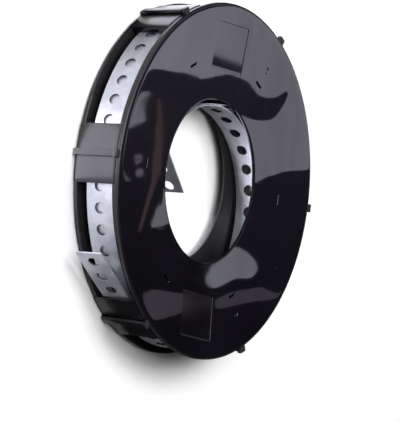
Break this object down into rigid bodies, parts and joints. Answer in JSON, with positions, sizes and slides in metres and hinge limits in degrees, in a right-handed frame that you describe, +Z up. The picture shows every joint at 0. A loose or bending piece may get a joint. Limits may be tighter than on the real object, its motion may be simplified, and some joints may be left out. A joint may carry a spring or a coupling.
{
  "type": "perforated steel strap roll",
  "caption": "Galvanised perforated steel strap coiled in a round black plastic dispenser case with an open centre, rim windows and a loose strap end.",
  "frame": {"origin": "centre of the case on the axis of its bore, midway across its width", "axes": "Z up along the axis of the roll, which lies on the tray side with the cover on top; the strap's loose outer end points to -X"},
  "size_m": [0.2091, 0.2034, 0.0316],
  "materials": {
    "case_plastic": "gloss",
    "galvanised_steel": "galvanised"
  },
  "bodies": {
    "root": {"case_tray": "case_plastic", "case_cover": "case_plastic", "strap": "galvanised_steel"}
  },
  "joints": []
}
